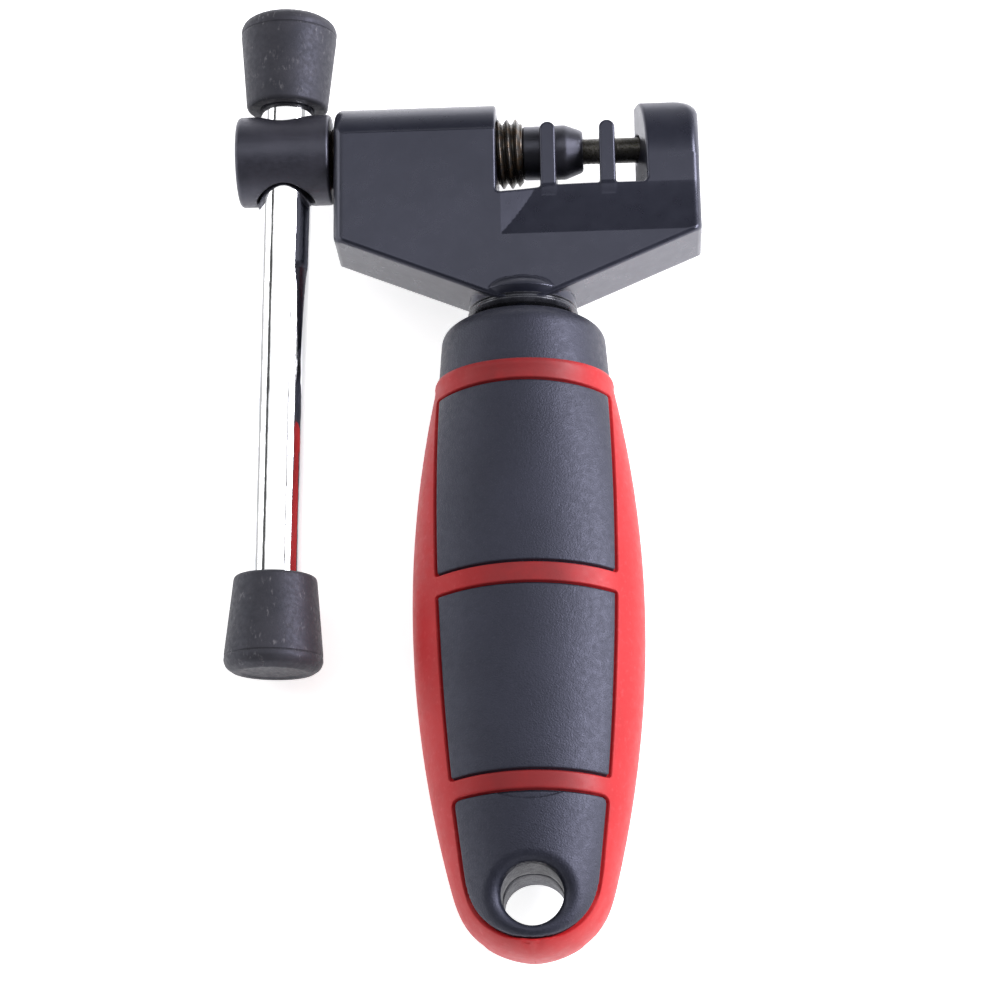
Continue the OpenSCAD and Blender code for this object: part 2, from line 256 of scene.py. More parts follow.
def surface_of(field, low, high, step):
    """Points, quads and normals on a field's zero surface, from one point a grid cell."""
    counts = [int(math.ceil((b - a) / step)) + 1 for a, b in zip(low, high)]
    axes = [a + step * np.arange(n) for a, n in zip(low, counts)]
    d = field(*np.meshgrid(*axes, indexing="ij"))
    cells = tuple(n - 1 for n in counts)
    total = np.zeros(cells + (3,))
    crossings = np.zeros(cells)
    corner = [slice(0, -1), slice(1, None)]
    for k in range(3):
        for u in range(2):
            for v in range(2):
                sides = [None, None, None]
                others = [i for i in range(3) if i != k]
                sides[others[0]], sides[others[1]] = corner[u], corner[v]
                sides[k] = corner[0]
                a = d[tuple(sides)]
                sides[k] = corner[1]
                b = d[tuple(sides)]
                hit = (a < 0) != (b < 0)
                place = np.zeros(cells + (3,))
                place[..., k] = a / np.where(hit, a - b, 1)
                place[..., others[0]], place[..., others[1]] = u, v
                total += place * hit[..., None]
                crossings += hit
    used = crossings > 0
    index = np.full(cells, -1)
    index[used] = np.arange(used.sum())
    where = np.argwhere(used)
    points = np.array(low) + step * (where + total[used] / crossings[used][:, None])
    faces = []
    for k in range(3):
        others = [(k + 1) % 3, (k + 2) % 3]
        take = [slice(1, -1)] * 3
        take[k] = slice(0, -1)
        a = d[tuple(take)]
        take[k] = slice(1, None)
        b = d[tuple(take)]
        for sign, chosen in ((1, (a < 0) & (b >= 0)), (-1, (a >= 0) & (b < 0))):
            at = np.argwhere(chosen)
            for i in range(3):
                if i != k:
                    at[:, i] += 1
            quad = []
            for du, dv in ((0, 0), (1, 0), (1, 1), (0, 1)):
                cell = at.copy()
                cell[:, others[0]] += du - 1
                cell[:, others[1]] += dv - 1
                quad.append(index[tuple(cell.T)])
            faces += np.stack(quad[::sign], axis=1).tolist()
    for _ in range(3):
        g = slope(field, points)
        move = field(*points.T)[:, None] * g / np.maximum((g * g).sum(1), 0.3)[:, None]
        points -= np.clip(move, -step / 2, step / 2)
    g = slope(field, points)
    return points, faces, g / np.linalg.norm(g, axis=1)[:, None]


# --- materials ---------------------------------------------------------------------------


class Shader:
    """A principled shader whose noise is placed in the object's own millimetres."""

    def __init__(self, name, **fixed):
        self.material = bpy.data.materials.new(name)
        self.material.use_nodes = True
        self.tree = self.material.node_tree
        self.bsdf = self.tree.nodes["Principled BSDF"]
        for socket, value in fixed.items():
            self.bsdf.inputs[socket.replace("_", " ")].default_value = value
        place = self.tree.nodes.new("ShaderNodeTexCoord")
        self.scale = self.tree.nodes.new("ShaderNodeMapping")
        self.scale.inputs["Scale"].default_value = (1 / MM,) * 3
        self.scale.inputs["Location"].default_value = -ORIGIN / MM
        self.link(place.outputs["Object"], self.scale.inputs["Vector"])

    def link(self, a, b):
        self.tree.links.new(a, b)

    def noise(self, per_mm, detail=4, stretched=(1, 1, 1)):
        """Noise with so many cells a millimetre, drawn out along an axis where asked."""
        place = self.tree.nodes.new("ShaderNodeMapping")
        place.inputs["Scale"].default_value = [per_mm * s for s in stretched]
        self.link(self.scale.outputs[0], place.inputs["Vector"])
        node = self.tree.nodes.new("ShaderNodeTexNoise")
        node.inputs["Scale"].default_value = 1
        node.inputs["Detail"].default_value = detail
        node.inputs["Roughness"].default_value = 0.55
        self.link(place.outputs[0], node.inputs["Vector"])
        return node.outputs["Fac"]

    def along(self, axis):
        """The place along one of the tool's axes, in millimetres."""
        node = self.tree.nodes.new("ShaderNodeSeparateXYZ")
        self.link(self.scale.outputs[0], node.inputs[0])
        return node.outputs[axis]

    def edges(self):
        """Where the surface is sharply convex, for wear."""
        return self.tree.nodes.new("ShaderNodeNewGeometry").outputs["Pointiness"]

    def steps(self, value, low, high, a=0.0, b=1.0):
        """Runs smoothly from a to b while the value goes from low to high."""
        node = self.tree.nodes.new("ShaderNodeMapRange")
        node.interpolation_type = "SMOOTHSTEP"
        for key, v in (("From Min", low), ("From Max", high), ("To Min", a), ("To Max", b)):
            node.inputs[key].default_value = v
        self.link(value, node.inputs["Value"])
        return node.outputs["Result"]

    def math(self, kind, a, b):
        node = self.tree.nodes.new("ShaderNodeMath")
        node.operation = kind
        for socket, v in zip(node.inputs, (a, b)):
            if isinstance(v, (int, float)):
                socket.default_value = v
            else:
                self.link(v, socket)
        return node.outputs[0]

    def blend(self, amount, a, b):
        """A colour between a and b. Each is a tuple or another node's output."""
        node = self.tree.nodes.new("ShaderNodeMix")
        node.data_type = "RGBA"
        self.link(amount, node.inputs[0])
        for socket, v in ((node.inputs[6], a), (node.inputs[7], b)):
            if isinstance(v, tuple):
                socket.default_value = (*v, 1)
            else:
                self.link(v, socket)
        return node.outputs[2]

    def colour(self, value):
        self.link(value, self.bsdf.inputs["Base Color"])

    def roughness(self, value):
        self.link(value, self.bsdf.inputs["Roughness"])

    def bump(self, value, depth_mm):
        node = self.tree.nodes.new("ShaderNodeBump")
        node.inputs["Strength"].default_value = 1.0
        node.inputs["Distance"].default_value = depth_mm * MM
        self.link(value, node.inputs["Height"])
        self.link(node.outputs[0], self.bsdf.inputs["Normal"])


# Dark plastics and paint of this tool shine a little blue
COOL = (0.74, 0.76, 1.0, 1.0)


def head_paint():
    s = Shader("head_paint", Coat_Weight=0.2, Coat_Roughness=0.25)
    s.bsdf.inputs["Specular IOR Level"].default_value = 0.7
    s.bsdf.inputs["Specular Tint"].default_value = COOL
    patches = s.steps(s.noise(0.09, 3), 0.3, 0.7)
    base = s.blend(patches, (0.009, 0.010, 0.016), (0.014, 0.015, 0.023))
    wear = s.math("MULTIPLY", s.steps(s.edges(), 0.63, 0.72), s.steps(s.noise(0.8, 5), 0.45, 0.7))
    s.colour(s.blend(wear, base, (0.06, 0.063, 0.08)))
    s.roughness(s.steps(s.noise(0.5, 5), 0.25, 0.75, 0.26, 0.34))
    s.bump(s.noise(5, 2), 0.004)
    return s.material


def neck_steel():
    s = Shader("neck_steel", Metallic=0.5, Coat_Weight=0.3, Coat_Roughness=0.2)
    s.colour(s.blend(s.steps(s.noise(0.4, 4), 0.3, 0.7),
                     (0.03, 0.031, 0.038), (0.07, 0.072, 0.085)))
    s.roughness(s.steps(s.noise(1.5, 5), 0.3, 0.7, 0.2, 0.34))
    s.bump(s.noise(3, 4, (1, 6, 1)), 0.008)
    return s.material


def core_plastic():
    s = Shader("core_plastic", Coat_Weight=0.08, Coat_Roughness=0.45)
    s.bsdf.inputs["Specular IOR Level"].default_value = 0.6
    s.bsdf.inputs["Specular Tint"].default_value = COOL
    base = s.blend(s.steps(s.noise(0.12, 3), 0.3, 0.7), (0.009, 0.010, 0.016),
                   (0.013, 0.014, 0.022))
    dust = s.steps(s.noise(5, 4), 0.55, 0.8)
    s.colour(s.blend(dust, base, (0.028, 0.030, 0.042)))
    s.roughness(s.steps(s.noise(1.2, 5), 0.3, 0.7, 0.40, 0.54))
    s.bump(s.noise(4.0, 4), 0.075)
    return s.material


def sleeve_rubber():
    s = Shader("sleeve_rubber", Coat_Weight=0.03, Coat_Roughness=0.4)
    s.bsdf.inputs["Specular IOR Level"].default_value = 0.3
    base = s.blend(s.steps(s.noise(0.1, 3), 0.3, 0.7), (0.43, 0.008, 0.011), (0.50, 0.011, 0.015))
    bloom = s.steps(s.noise(1.4, 5), 0.52, 0.8)
    bright = s.blend(bloom, base, (0.52, 0.03, 0.036))
    # The bands between the pads are thin, so the black core shows through their middle
    middle_part = s.steps(s.math("ABSOLUTE", s.along(0), 0), 3.5, 11.5, 1.0, 0.0)
    above_end = s.steps(s.along(1), -HOLE_Y, -HOLE_Y + 6)
    thin = s.math("MULTIPLY", s.math("MULTIPLY", middle_part, above_end),
                  s.steps(s.noise(0.35, 4), 0.1, 0.6, 0.7, 1.0))
    s.colour(s.blend(thin, bright, (0.21, 0.014, 0.016)))
    s.roughness(s.steps(s.noise(0.8, 5), 0.3, 0.7, 0.42, 0.52))
    s.bump(s.noise(4, 3), 0.012)
    return s.material


def black_oxide(name, light=(0.026, 0.025, 0.032), dark=(0.017, 0.017, 0.022), shine=0.42):
    s = Shader(name, Metallic=0.1, Coat_Weight=0.25, Coat_Roughness=0.3)
    s.bsdf.inputs["Specular IOR Level"].default_value = 0.8
    s.bsdf.inputs["Specular Tint"].default_value = COOL
    s.colour(s.blend(s.steps(s.noise(0.25, 4), 0.3, 0.7), dark, light))
    s.roughness(s.steps(s.noise(1.5, 5), 0.3, 0.7, shine - 0.06, shine + 0.08))
    s.bump(s.noise(2.5, 4, (1, 3, 3)), 0.012)
    return s.material


def greased_steel():
    s = Shader("greased_steel", Metallic=0.7, Coat_Weight=0.3, Coat_Roughness=0.2)
    steel = s.blend(s.steps(s.noise(0.4, 4), 0.3, 0.7), (0.035, 0.033, 0.031), (0.06, 0.055, 0.05))
    grease = s.steps(s.noise(1.1, 5), 0.42, 0.62)
    s.colour(s.blend(grease, steel, (0.075, 0.05, 0.03)))
    s.roughness(s.steps(s.noise(2, 5), 0.3, 0.7, 0.25, 0.45))
    s.bump(s.noise(3, 5), 0.03)
    return s.material


def oiled_pin():
    s = Shader("oiled_pin", Metallic=0.75, Coat_Weight=0.2, Coat_Roughness=0.2)
    steel = s.blend(s.steps(s.noise(0.8, 4), 0.3, 0.7), (0.05, 0.048, 0.046), (0.085, 0.08, 0.072))
    specks = s.steps(s.noise(4, 5), 0.5, 0.62)
    s.colour(s.blend(specks, steel, (0.035, 0.032, 0.02)))
    s.roughness(s.steps(s.noise(3, 5), 0.3, 0.7, 0.28, 0.5))
    s.bump(s.noise(4, 5), 0.04)
    return s.material


def bright_chrome():
    s = Shader("bright_chrome", Metallic=1.0)
    s.colour(s.blend(s.steps(s.noise(0.1, 3), 0.3, 0.7), (0.74, 0.75, 0.77), (0.82, 0.82, 0.83)))
    along = s.noise(1.2, 4, (1, 0.06, 1))
    s.roughness(s.steps(along, 0.3, 0.8, 0.04, 0.12))
    s.bump(along, 0.018)
    return s.material


def cap_rubber():
    s = Shader("cap_rubber", Coat_Weight=0.05, Coat_Roughness=0.5)
    s.bsdf.inputs["Specular Tint"].default_value = COOL
    base = s.blend(s.steps(s.noise(0.3, 3), 0.3, 0.7), (0.020, 0.020, 0.022), (0.03, 0.029, 0.032))
    scuffs = s.math("MULTIPLY", s.steps(s.noise(0.5, 3), 0.5, 0.7),
                    s.steps(s.noise(3, 5, (1, 0.35, 1)), 0.5, 0.72))
    s.colour(s.blend(scuffs, base, (0.13, 0.125, 0.13)))
    s.roughness(s.steps(s.noise(1.5, 5), 0.3, 0.7, 0.5, 0.68))
    s.bump(s.noise(3.5, 4), 0.03)
    return s.material


def floor_paper():
    s = Shader("floor_paper")
    s.colour(s.blend(s.noise(0.01, 2), (0.93, 0.93, 0.93), (0.96, 0.96, 0.96)))
    s.bsdf.inputs["Roughness"].default_value = 0.9
    s.bsdf.inputs["Emission Color"].default_value = (1, 1, 1, 1)
    s.bsdf.inputs["Emission Strength"].default_value = 0.75
    return s.material


# --- head --------------------------------------------------------------------------------


def through(x0, y0, x1, y1):
    """Distance outside the line from one point to the next, on its left-hand side."""
    length = math.hypot(x1 - x0, y1 - y0)
    return lambda x, y: ((y - y0) * (x1 - x0) - (x - x0) * (y1 - y0)) / length


left_foot = through(0, -VEE_DROP, BLOCK_LEFT, -CORNER_DROP)
right_foot = through(ANVIL_RIGHT, -CORNER_DROP, 0, -VEE_DROP)


def front_height(x, y):
    """Height of the front face, with the relief in front of the slot and the anvil."""
    deep = HEAD_FRONT - RELIEF_FRONT
    foot = deep * clamp01((-y - RELIEF_BEND) / (RELIEF_FOOT - RELIEF_BEND)) ** 1.25
    end = deep * clamp01(1 - (x - BLOCK_RIGHT - RELIEF_START) / RELIEF_RUN)
    relief = RELIEF_FRONT + np.maximum(foot, end)
    return np.where((x > BLOCK_RIGHT) & (y > -RELIEF_FOOT), np.minimum(relief, HEAD_FRONT),
                    HEAD_FRONT)


def boss_section(x, y, z):
    """The rounded top of the head; the anvil's front is drawn in more gently."""
    boss = np.hypot(np.maximum(y, 0), z) - BOSS_R
    plate = np.maximum(HEAD_BACK - z, y)
    back = round_min(boss + np.maximum(-y, 0) * 0.9, plate, 1.5)
    # The anvil's front and top follow a quarter of an ellipse, from its start upwards
    start = -3.0
    tall, deep = BOSS_R + 0.15 - start, RELIEF_FRONT
    u, v = np.maximum(y - start, 0) / tall, np.maximum(z, 0) / deep
    ring = np.hypot(u, v)
    rate = np.hypot(u / tall, v / deep) / np.maximum(ring, 1e-6)
    ellipse = (ring - 1) / np.maximum(rate, 1e-3)
    anvil = np.where((z > 0) & (y > start), ellipse, -1.0)
    return np.where(x > SLOT_FRONT - 4, np.maximum(back, anvil), back)


def slot_field(x, y, z):
    """The chain slot: its floor falls towards the block, its right wall opens to the front."""
    lean = clamp01((z - SLOT_LEAN_START) / (RELIEF_FRONT - SLOT_LEAN_START))
    wall = x - (ANVIL_LEFT + (SLOT_FRONT - ANVIL_LEFT) * lean)
    fall = clamp01((RIB_PLACES[0] - x) / (RIB_PLACES[0] - BLOCK_RIGHT))
    floor = -SLOT_FLOOR - FLOOR_FALL * fall - 0.25 * clamp01((10 - x) / 10) - y
    return round_max(round_max(BLOCK_RIGHT - x, floor, 0.7), wall, 0.7)


def rib_field(x, y, z, place):
    """One of the two ribs that hold a chain, with the round seat for its rollers."""
    post = np.hypot(x - place, np.maximum(y - (RIB_TOP - RIB_HALF), 0)) - RIB_HALF
    ends = round_max(np.maximum(post, -SLOT_FLOOR - 2 - y), z - RELIEF_FRONT, 0.35)
    ends = round_max(ends, HEAD_BACK - z, 0.35)
    seat = np.where(y > 0, np.abs(z), np.hypot(y, z)) - SEAT_R
    return round_max(ends, -seat, 0.25)


def outer_block(x, y, z):
    """The casting before the slot is cut: its front half meets its back half."""
    front = z - front_height(x, y)
    left = BLOCK_LEFT - x
    right = round_max(y - BOSS_R - 0.3, x - ANVIL_RIGHT, 3.6)
    feet = round_max(left_foot(x, y), right_foot(x, y), 1.0)
    ahead = round_max(round_max(round_max(front, left, 1.7), right, 1.2), feet, 0.7)
    behind = round_max(boss_section(x, y, z), left, 1.2)
    behind = round_max(round_max(behind, right, 1.4), round_max(feet, HEAD_BACK - z, 3.0), 0.3)
    return np.maximum(ahead, behind)


def dome_field(x, y, z):
    """The low dome over the neck, set a little forward except at its foot."""
    across = np.hypot(x, z - DOME_AHEAD * clamp01((DOME_FOOT - 0.05 + y) / 0.9))
    dome = round_max(across - DOME_R, y + DOME_TOP, DOME_ROUND)
    return np.maximum(dome, -y - DOME_FOOT)


def head_field(x, y, z):
    body = round_max(outer_block(x, y, z), -slot_field(x, y, z), 0.4)
    for place in RIB_PLACES:
        body = round_min(body, rib_field(x, y, z, place), 0.35)
    body = round_min(body, dome_field(x, y, z), 0.15)
    about_screw = np.hypot(y, z)
    tapped = np.maximum(about_screw - TAPPED_R, x - BLOCK_RIGHT - 1)
    # The screw's hole is countersunk by a cone at 45 degrees
    sink = (about_screw - TAPPED_R - SINK_DEPTH + (BLOCK_RIGHT - x)) / 1.41
    tapped = np.minimum(tapped, sink)
    tapped = np.where(x < BLOCK_RIGHT + 0.8, tapped, NOWHERE)
    rivet = np.where(x > ANVIL_LEFT - 2, about_screw - RIVET_HOLE_R, NOWHERE)
    return round_max(round_max(body, -tapped, 0.15), -rivet, 0.25)


def make_head():
    """The casting, and the ring round its neck, whose outline gives (height, radius)."""
    low = (BLOCK_LEFT - 0.3, -VEE_DROP - 0.1, -HEAD_HIGH[2] - 0.3)
    high = (ANVIL_RIGHT + 0.3, BOSS_R + 0.3, DOME_R + DOME_AHEAD + 0.3)
    points, faces, normals = surface_of(head_field, low, high, 0.2)
    make_piece("head_casting", points, faces, "tool_body", "head", head_paint(),
               normals)
    outline = round_outline([
        (-23.4, 6.0), (-23.4, 7.55), (-23.95, 7.62), (-24.1, 7.3), (-24.35, 7.3),
        (-24.45, NECK_R - 0.2), (-24.6, NECK_R), (-24.75, NECK_R), (-25.25, 7.25), (-25.3, 6.0),
        (-30, 5.8)], 0.1, 3)
    points, faces = lathe(outline)
    make_piece("head_neck_ring", points[:, [1, 0, 2]], [f[::-1] for f in faces],
               "tool_body", "head", neck_steel())


# --- handle ------------------------------------------------------------------------------


def shoulder(y):
    """How much of its width the ferrule keeps where it curves in to the neck."""
    return 1 - 0.24 * clamp01((FERRULE_TOP + SHOULDER_RUN - y) / SHOULDER_RUN) ** 2.6


def end_curve(y):
    """How much of its width the handle keeps at its round end."""
    return np.sqrt(np.maximum(0.0, 1 - clamp01((y - HANDLE_END + END_ROUND) / END_ROUND) ** 3.5))


def ferrule_half_w(y):
    return shoulder(y) * (FERRULE_HALF_W + (y - 29) * 0.08)


def ferrule_half_t(y):
    return shoulder(y) * (FERRULE_HALF_W - 0.5)


def half_w(y):
    """Half the handle's width at a depth down the handle."""
    grip = (BELLY_HALF_W - 0.0034 * (y - BELLY_Y) ** 2) * end_curve(y)
    return np.where(y < SLEEVE_TOP, ferrule_half_w(y), grip)


def half_t(y):
    """Half the handle's thickness at a depth down the handle."""
    fall = np.where(y < BELLY_Y, 0.00045, 0.0011)
    deep = BELLY_HALF_T - fall * (y - BELLY_Y) ** 2
    return np.where(y < SLEEVE_TOP, ferrule_half_t(y), deep * (0.15 + 0.85 * end_curve(y)))


def pad_side(y):
    """Half width between the long sides of the pads."""
    return PAD_HALF_W - 0.0013 * (y - PAD_WIDEST) ** 2


def pad_w(y):
    """Half width of the pads, with the last one's round end."""
    round_start = 103
    e = clamp01((y - round_start) / (PAD_ROWS[-1][1] - round_start))
    return pad_side(y) * np.sqrt(np.maximum(0, 1 - e ** 3.4))


def arched(x, y):
    """Depth down the handle, measured along the pads' arched upper and lower edges."""
    return y - ARCH * x ** 2 * clamp01((ARCH_END - y) / ARCH_FADE)


def pad_distance(x, y):
    """Distance outside the nearest pad's edge, in the front view."""
    v = arched(x, y)
    wide = pad_w(y)
    lean = np.abs(pad_w(y + 0.05) - pad_w(y - 0.05)) / 0.1
    across = (np.abs(x) - wide) / np.sqrt(1 + np.minimum(lean, 8) ** 2)
    nearest = np.full(np.shape(x), 50.0)
    for row, (top, bottom) in enumerate(PAD_ROWS):
        inner = np.maximum(top - v, v - bottom - (0.3 if row == 2 else 0))
        a, b = across + CORNER_ROUNDS[row], inner + CORNER_ROUNDS[row]
        d = np.hypot(np.maximum(a, 0), np.maximum(b, 0)) + np.minimum(np.maximum(a, b), 0)
        nearest = np.minimum(nearest, d - CORNER_ROUNDS[row])
    return nearest


def crescent(x, y):
    """How far the thumbnail pocket at the top of the last pad is sunk."""
    v = arched(x, y) - PAD_ROWS[-1][0]
    below = v - POCKET_DROP * (1 - (x / POCKET_HALF_W) ** 2)
    edge = 0.45 * clamp01(1 - np.abs(below) / 0.13) * (v > 0) * (np.abs(x) < POCKET_HALF_W)
    return np.maximum(edge, 0.3 * clamp01(-below / 0.15) * (v > 0))


def oval_distance(x, y):
    """Distance outside the hanging hole's oval, in the front view."""
    u, v = x / HOLE_HALF[0], (y - HOLE_Y) / HOLE_HALF[1]
    ring = np.maximum(np.hypot(u, v), 1e-4)
    rate = np.hypot(u / HOLE_HALF[0], v / HOLE_HALF[1]) / ring
    return (ring - 1) / rate


def end_ridge(x, y):
    """A shallow hollow in the sleeve, parallel to the last pad's lower edge."""
    beyond = pad_distance(x, y) - 1.15
    return 0.14 * np.exp(-(beyond / 0.4) ** 2) * clamp01((y - 106) / 6)


def sunk(x, y):
    """How far the surface lies under the handle's outer form: grooves, lips and hole rim."""
    d = pad_distance(x, y)
    groove = GROOVE_DEPTH * clamp01(1 - (np.abs(d) / GROOVE_HALF_W) ** 2.4)
    crown = 0.06 * clamp01(1 - (np.maximum(-d, 0) / 0.8)) ** 2 * (d < 0)
    lip = 0.02 * clamp01(1 - (np.maximum(d, 0) / 0.45)) ** 2 * (d >= 0)
    hole = oval_distance(x, y)
    rim = RIM_ROUND * (1 - np.sqrt(1 - clamp01(1 - np.maximum(hole, 0) / RIM_ROUND) ** 2))
    return groove + crown + lip + rim + crescent(x, y) + end_ridge(x, y)


def spaced(lines, fine, coarse):
    """Places between the given lines, close together beside each line."""
    places = []
    for a, b in zip(lines, lines[1:]):
        half = (b - a) / 2
        step, at, run = fine, 0.0, []
        while at < half:
            run.append(at)
            at += step
            step = min(step * 1.35, coarse)
        run = [r * half / at for r in run + [at]]
        places += [a + r for r in run] + [b - r for r in run[-2:0:-1]]
    return np.array(places + [lines[-1]])


def edge_line(y):
    """Half width of the pads' stretch of the grid, which narrows to nothing at the end."""
    return pad_side(y) * end_curve(y)


def skin_grid():
    """Places (x, y) of the front half's grid, with close lines beside every groove."""
    last = PAD_ROWS[-1]
    lines = [SLEEVE_TOP] + [y for row in PAD_ROWS[:2] for y in row] + [last[0]]
    rows = np.concatenate([
        spaced(lines, 0.06, 0.7)[:-1],
        spaced([last[0], last[0] + 1.4], 0.06, 0.1)[:-1],
        spaced([last[0] + 1.4, HOLE_Y - HOLE_HALF[1] - 3], 0.1, 0.3)[:-1],
        np.arange(HOLE_Y - HOLE_HALF[1] - 3, HANDLE_END - 0.8, 0.13),
        HANDLE_END - 0.8 * np.linspace(1, 0, 13) ** 3,
    ])
    centre = spaced([-PAD_HALF_W, PAD_HALF_W], 0.06, 0.15) / PAD_HALF_W
    side = np.linspace(0, 1, 40)[1:] ** 1.8
    v = rows[:, None]
    arch = ARCH * clamp01((ARCH_END - v) / ARCH_FADE) * clamp01((v - SLEEVE_TOP) / 2.5)
    columns = np.concatenate([-side[::-1] - 1, centre, side + 1])[None, :]
    y = v * np.ones_like(columns)
    for _ in range(3):
        wide, edge = half_w(y), edge_line(y)
        start = np.arcsin(np.clip(edge / np.maximum(wide, 1e-6), 0, 1))
        turn = start + (math.pi / 2 - start) * (np.abs(columns) - 1)
        outer = np.sign(columns) * wide * np.sin(turn)
        x = np.where(np.abs(columns) <= 1, columns * edge, outer)
        y = np.minimum(v + arch * np.minimum(np.abs(x), PAD_HALF_W) ** 2, HANDLE_END - 2e-5)
    return x, y


def skin_points(x, y):
    """Points of the front half's skin, sunk along the section's own normal."""
    w, t = np.maximum(half_w(y), 0.02), np.maximum(half_t(y), 0.02)
    x = np.clip(x, -w, w)
    z = t * np.sqrt(np.maximum(0, 1 - (x / w) ** 2))
    nx, nz = x / w ** 2, z / t ** 2
    size = np.maximum(np.hypot(nx, nz), 1e-9)
    depth = sunk(x, y) + 1.0 * clamp01(1 - (y - SLEEVE_TOP) / 0.3) ** 2.5
    depth -= 0.22 * np.exp(-((y - SLEEVE_TOP - 0.8) / 0.6) ** 2)
    depth = np.minimum(depth, 0.6 * t)
    return np.stack([x - depth * nx / size, -y, z - depth * nz / size], axis=-1)


def snap_to(distance, x, y):
    """The nearest place on the outline where a distance is zero."""
    for _ in range(4):
        d = distance(x, y)
        h = 0.01
        gx = (distance(x + h, y) - distance(x - h, y)) / (2 * h)
        gy = (distance(x, y + h) - distance(x, y - h)) / (2 * h)
        size = np.maximum(gx ** 2 + gy ** 2, 0.5)
        x, y = x - d * gx / size, y - d * gy / size
    return x, y


def shared(quads, chosen, count):
    """Which points lie between the chosen quads and the others."""
    inside, outside = np.zeros(count, bool), np.zeros(count, bool)
    inside[quads[chosen].ravel()] = True
    outside[quads[~chosen].ravel()] = True
    return inside & outside


def split_skin():
    """The front half's points, with its quads shared out between the sleeve and the pads."""
    x, y = skin_grid()
    rows, columns = x.shape
    quads = np.array(grid_faces(rows, columns))
    fx, fy = x.ravel(), y.ravel()
    middle_x, middle_y = fx[quads].mean(1), fy[quads].mean(1)
    open_hole = oval_distance(middle_x, middle_y) < 0
    rim = shared(quads, open_hole, fx.size)
    fx[rim], fy[rim] = snap_to(oval_distance, fx[rim], fy[rim])
    on_pad = (pad_distance(middle_x, middle_y) < 0) & ~open_hole
    edge = shared(quads, on_pad, fx.size) & ~rim & (np.abs(pad_distance(fx, fy)) < 0.14)
    fx[edge], fy[edge] = snap_to(pad_distance, fx[edge], fy[edge])
    points = skin_points(fx, fy)
    return points, quads[on_pad], quads[~on_pad & ~open_hole]


def used_only(points, quads):
    """Drops the points that no quad uses."""
    used, where = np.unique(quads, return_inverse=True)
    return points[used], where.reshape(quads.shape)


def ferrule_shell():
    """The front half of the ferrule, from the neck's recess out over the shoulder."""
    recess = NECK_R + 0.3
    over = np.linspace(0, 1, 26) ** 1.6
    ys = FERRULE_TOP + over * (SLEEVE_TOP + 1.1 - FERRULE_TOP)
    turns = np.linspace(math.pi, 0, 73)
    rings = []
    for depth, radius in ((1.6, recess), (0.5, recess), (0.22, recess + 0.02),
                          (0.06, recess + 0.1)):
        rings.append((FERRULE_TOP + depth, radius, radius))
    for y in ys:
        edge = 0.16 * clamp01((y - SLEEVE_TOP + 0.35) / 0.3)
        rings.append((y, max(ferrule_half_w(y) - edge, recess + 0.22),
                      max(ferrule_half_t(y) - edge, recess + 0.2)))
    points = [(w * math.cos(a), -y, t * math.sin(a)) for y, w, t in rings for a in turns]
    return np.array(points), np.array(grid_faces(len(rings), len(turns)))


def hole_wall():
    """The front half of the hanging hole's wall, with a chamfer at the seam."""
    turns = np.linspace(0, 2 * math.pi, 121)[:-1]
    x, y = HOLE_HALF[0] * np.cos(turns), HOLE_Y + HOLE_HALF[1] * np.sin(turns)
    chamfer_start = 0.3
    top = skin_points(x, y)
    rings = [top]
    for share in (0.04, 0.3, 0.6, 0.9):
        ring = top.copy()
        ring[:, 2] = top[:, 2] * (1 - share) + chamfer_start * share
        rings.append(ring)
    for height, out in ((chamfer_start, 0.0), (0.1, 0.14), (0.03, 0.32)):
        grown = np.stack([x * (1 + out / HOLE_HALF[0]),
                          -(HOLE_Y + (y - HOLE_Y) * (1 + out / HOLE_HALF[1])),
                          np.full(x.shape, height)], axis=-1)
        rings.append(grown)
    return np.concatenate(rings), np.array(grid_faces(len(rings), len(turns), closed=True))


def join(parts):
    """One list of points and quads from several."""
    points, quads, count = [], [], 0
    for p, q in parts:
        points.append(p)
        quads += (np.array(q) + count).tolist()
        count += len(p)
    return np.concatenate(points), quads


def thicken(piece):
    """Turns a shell into a closed wall, away from its outer side.

    At the very tip of the handle the two sides of the skin meet, so the wall is thin.
    """
    tip = ORIGIN[1] + (TIP_MEETS - HANDLE_END) * MM
    wall = piece.vertex_groups.new(name="wall")
    wall.add([v.index for v in piece.data.vertices if v.co.y > tip], 1, "REPLACE")
    weld = piece.modifiers.new("weld", "WELD")
    weld.merge_threshold = 0.01 * MM
    solid = piece.modifiers.new("wall", "SOLIDIFY")
    solid.thickness = WALL * MM
    solid.offset = -1
    solid.vertex_group = wall.name
    solid.thickness_vertex_group = TIP_SHARE


def make_handle():
    """Both core halves and the sleeve. The back is the front's mirror image."""
    points, pads, sleeve = split_skin()
    mirror = np.array([1, 1, -1])
    plastic = core_plastic()
    half, faces = join([used_only(points, pads), ferrule_shell(), hole_wall()])
    outward = [f[::-1] for f in faces]
    for name, node, place, quads in (("core_front", "front_core", half, outward),
                                     ("core_back", "back_core", half * mirror, faces)):
        thicken(make_piece(name, place, quads, "tool_body", node, plastic))
    half, faces = used_only(points, sleeve)
    place, quads = join([(half, faces[:, ::-1]), (half * mirror, faces)])
    thicken(make_piece("rubber_sleeve", place, quads, "tool_body", "grip_sleeve",
                       sleeve_rubber()))


# --- driving screw, pin holder and push pin ------------------------------------------------


def hub_field(x, y, z):
    """The hub, with the cross-hole that the T-bar slides in."""
    about = np.hypot(y, z) - HUB_R
    hub = round_max(round_max(about, -HUB_LEFT - x, 0.7), x + HUB_RIGHT, 0.45)
    across = -y * math.sin(BAR_DROP) + z * math.cos(BAR_DROP)
    hole = np.hypot(x - HUB_X, across) - CROSS_HOLE_R
    return round_max(hub, -hole, 0.4)


